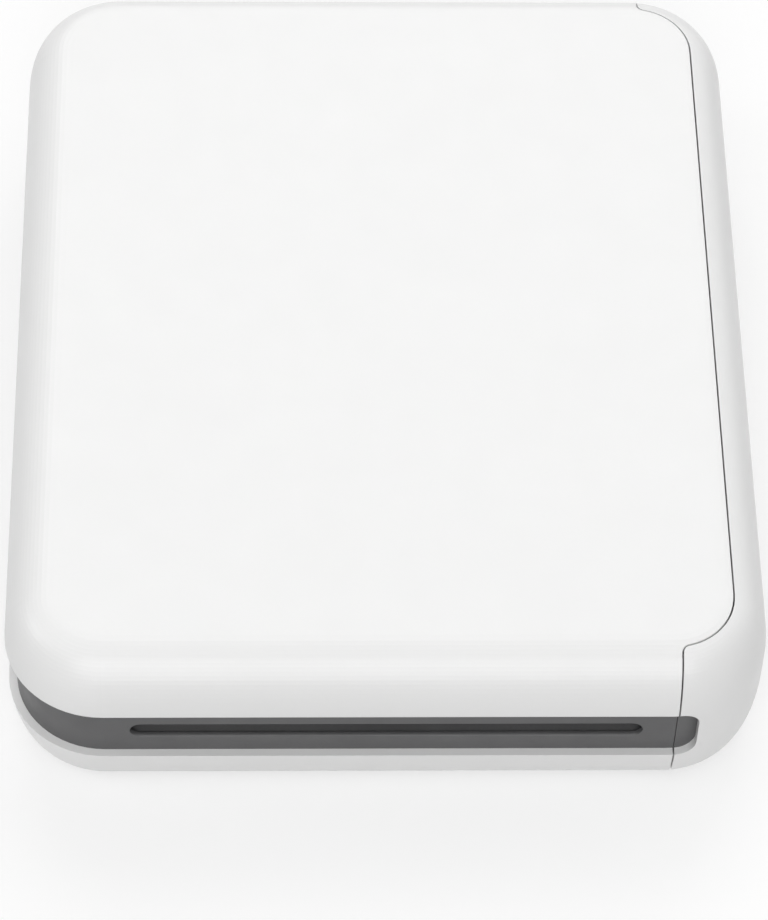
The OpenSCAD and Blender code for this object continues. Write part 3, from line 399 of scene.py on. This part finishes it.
def turned(s):
    """Fine tool marks round a turned or ground pin."""
    marks = s.noise(0.00009, 2.0, (1, 0.02, 0.02))
    s.height = s.math("MULTIPLY_ADD", marks, 0.0000015, s.height)
    s.paint(s.ramp(marks, 0, 0.3), (0.42, 0.42, 0.44, 1))


def geared(s):
    """Natural acetal with a thin film of clear grease that gathers in patches."""
    grease = s.ramp(s.noise(0.0022, 4.0), 0, 1, 0.52, 0.62)
    s.paint(grease, (0.60, 0.56, 0.42, 1), 0.12, relief=0.00001)


def make_materials():
    """One finish for each material slot of the record, and a few for single nodes."""
    def circuit(name, node):
        return finish(name, (0.02, 0.14, 0.05), 0.30, 0.0012, 0.000006, spread=0.12, coat=(0.4, 0.12),
                      edge=0.00004, detail=board(node))

    def spool(name, node):
        return finish(name, (0.62, 0.58, 0.48), 0.38, 0.0005, 0.000003, detail=wound(node))

    return {
        "case_white": finish("case_white", (0.86, 0.86, 0.857), 0.36, 0.0005, 0.000004, spread=0.006,
                             edge=0.00012, coat=(0.3, 0.24)),
        "band_grey": finish("band_grey", (0.098, 0.098, 0.1), 0.46, 0.00035, 0.000006, spread=0.05,
                            edge=0.00005),
        "button_grey": finish("button_grey", (0.55, 0.55, 0.55), 0.35, 0.0004, 0.000003, spread=0.02),
        "light_lens": finish("light_lens", (0.75, 0.78, 0.76), 0.18, 0.0008, 0.000002, spread=0.02,
                             coat=(0.5, 0.07)),
        "foot_rubber": finish("foot_rubber", (0.028, 0.028, 0.029), 0.75, 0.0003, 0.00001, spread=0.15,
                              sheen=0.15),
        "bright_steel": finish("bright_steel", (0.60, 0.60, 0.61), 0.28, 0.0006, 0.000003, metallic=1.0,
                               stretch=(0.05, 1, 1), detail=turned),
        "frame_steel": finish("frame_steel", (0.50, 0.51, 0.52), 0.36, 0.0009, 0.000005, metallic=1.0,
                              stretch=(1, 0.06, 1), spread=0.08, detail=plated),
        "sink_aluminium": finish("sink_aluminium", (0.70, 0.70, 0.72), 0.34, 0.0004, 0.000004, metallic=1.0,
                                 stretch=(0.04, 1, 1), spread=0.05),
        "head_ceramic": finish("head_ceramic", (0.70, 0.62, 0.48), 0.16, 0.0004, 0.000001, coat=(0.6, 0.06),
                               detail=heated),
        "flat_cable": finish("flat_cable", (0.42, 0.17, 0.03), 0.30, 0.0008, 0.000002, spread=0.06,
                             coat=(0.3, 0.12), edge=0.00003, detail=tracked),
        "roller_rubber": finish("roller_rubber", (0.035, 0.035, 0.038), 0.62, 0.00025, 0.000014, spread=0.12,
                                stretch=(0.2, 1, 1)),
        "gear_plastic": finish("gear_plastic", (0.68, 0.65, 0.57), 0.42, 0.0004, 0.000003, edge=0.00008,
                               detail=geared),
        "circuit_board": circuit("circuit_board", "main_board"),
        "guide_black": finish("guide_black", (0.11, 0.11, 0.112), 0.50, 0.0004, 0.000004, spread=0.1),
        "battery_wrap": finish("battery_wrap", (0.20, 0.23, 0.27), 0.34, 0.003, 0.00008, spread=0.05,
                               detail=taped),
        "lead_wire": finish("lead_wire", (0.30, 0.02, 0.02), 0.40, 0.0006, 0.000003, spread=0.05,
                            detail=paired),
        "cartridge_grey": finish("cartridge_grey", (0.10, 0.13, 0.17), 0.44, 0.0004, 0.000005, spread=0.05,
                                 detail=moulded),
        "spool_plastic": spool("spool_plastic", "supply_spool"),
        "ribbon": finish("ribbon", (0.16, 0.015, 0.075), 0.16, 0.004, 0.00003, spread=0.2, coat=(0.6, 0.06),
                         edge=0.00002, detail=panelled),
        "photo_paper": finish("photo_paper", (0.82, 0.82, 0.81), 0.22, 0.0015, 0.000002, spread=0.01,
                              coat=(0.3, 0.09), edge=0.00005, detail=layered),
        # Two nodes whose details lie elsewhere than in the other node of their slot
        "port_board": circuit("circuit_board_port", "port_board"),
        "takeup_spool": spool("spool_plastic_takeup", "takeup_spool"),
    }


# ---------------------------------------------------------------- nodes, slot lip and floor

def dress_nodes(materials):
    """Give each CAD node its own finish, or its slot's."""
    for part in frame["record"]["subparts"]:
        obj = nodes[part["node"]]
        obj.data.materials.clear()
        obj.data.materials.append(materials.get(part["node"]) or materials[part["material_slot"]])


# Half the paper slot's length and half its height, which is the radius of its round ends
SLOT_HALF = 0.0385
SLOT_RADIUS = 0.00175


def towards_inside(x, z):
    """From a point of the slot's outline to its inside: straight up, or to the middle of a round end."""
    beyond = max(0, abs(x) - (SLOT_HALF - SLOT_RADIUS))
    return Vector((-math.copysign(beyond, x), 0, -z)).normalized()


def make_slot_lip(material):
    """The rounded lower lip of the paper slot, which catches the light below the dark opening."""
    low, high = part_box("exit_guide")
    middle = (low.z + high.z) / 2
    # The lip's depth and height, and its steps round
    skin, rise, steps = 0.0007, 0.0003, 6
    # Points of a quarter turn, points over which the lip runs out, and what is left of it at its ends
    quarter, run_out, least = 12, 9, 0.02
    # The lower half of the slot's outline, from its left end to its right end
    turns = [math.pi + math.pi / 2 * i / quarter for i in range(quarter + 1)]
    left = [(SLOT_RADIUS * math.cos(t) - SLOT_HALF + SLOT_RADIUS, SLOT_RADIUS * math.sin(t)) for t in turns]
    outline = left + [(-x, z) for x, z in reversed(left)]
    bm = bmesh.new()
    rings = []
    for i, (x, z) in enumerate(outline):
        from_end = min(i, len(outline) - 1 - i)
        grown = rise * min(1, (from_end + least) / run_out)
        ring = [Vector((x, low.y, middle + z)), Vector((x, low.y - skin, middle + z))]
        for k in range(1, steps + 1):
            turn = math.pi / 2 * k / steps
            rolled = Vector((x, low.y - skin * math.cos(turn), middle + z))
            ring.append(rolled + towards_inside(x, z) * grown * math.sin(turn))
        rings.append([bm.verts.new(v) for v in ring])
    for first, second in zip(rings, rings[1:]):
        for k in range(len(first)):
            n = (k + 1) % len(first)
            bm.faces.new((first[k], first[n], second[n], second[k]))
    for ring in (rings[0], rings[-1]):
        bm.faces.new(ring)
    bmesh.ops.recalc_face_normals(bm, faces=bm.faces)
    mesh = bpy.data.meshes.new("slot_lip")
    bm.to_mesh(mesh)
    bm.free()
    mesh.materials.append(material)
    lip = bpy.data.objects.new("slot_lip", mesh)
    bpy.context.scene.collection.objects.link(lip)
    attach(lip, "printer")


def make_floor():
    """A plain pale floor, matt, so that it throws no glare on the object."""
    reach, lift = 8, 0.55
    corners = [(-reach, -reach, 0), (reach, -reach, 0), (reach, reach, 0), (-reach, reach, 0)]
    mesh = bpy.data.meshes.new("floor")
    mesh.from_pydata(corners, [], [(0, 1, 2, 3)])
    floor = bpy.data.objects.new("floor", mesh)
    bpy.context.scene.collection.objects.link(floor)
    s = Shader("floor_pale")
    s.set(Base_Color=s.mix(s.noise(0.4, 2.0), (0.46, 0.46, 0.46, 1), (0.47, 0.47, 0.47, 1)), Roughness=0.5)
    s.set(Specular_IOR_Level=0.06)
    # Seen directly or in a reflection, the floor is lifted towards white and keeps its shadows
    s.put(s.principled, "Emission Strength", s.ramp(background_rays(s.tree), 0, lift, 0, 1))
    s.set(Emission_Color=(1, 1, 1, 1))
    mesh.materials.append(s.material)


make_camera()
make_light()
make_floor()
finishes = make_materials()
dress_nodes(finishes)
make_slot_lip(finishes["band_grey"])

bpy.context.scene.view_settings.view_transform = "Standard"
